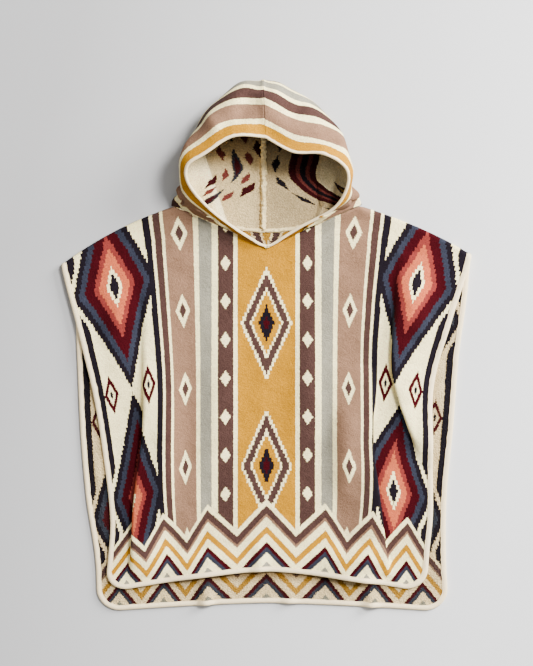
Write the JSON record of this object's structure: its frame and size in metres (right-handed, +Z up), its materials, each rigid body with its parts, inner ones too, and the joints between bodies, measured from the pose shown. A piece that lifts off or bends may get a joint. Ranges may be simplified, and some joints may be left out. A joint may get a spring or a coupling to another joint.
{
  "type": "hooded towel",
  "caption": "Child's hooded towel poncho laid flat: bound front and back panels joined at the shoulders, with an open hood lying on its back.",
  "frame": {"origin": "on the surface it lies on, under the middle of the laid-out towel", "axes": "+Y from the hem to the top of the hood, +Z up from the surface, +X to the right of someone looking down with the hood at the top"},
  "size_m": [0.6345, 0.818, 0.0947],
  "materials": {
    "velour": "sheared velour face",
    "loops": "looped terry inside",
    "tape": "folded cotton tape"
  },
  "bodies": {
    "root": {"front_panel": "velour", "back_panel": "loops", "hood_left": "velour", "hood_right": "velour", "front_binding": "tape", "back_binding": "tape", "hood_binding": "tape"}
  },
  "joints": []
}
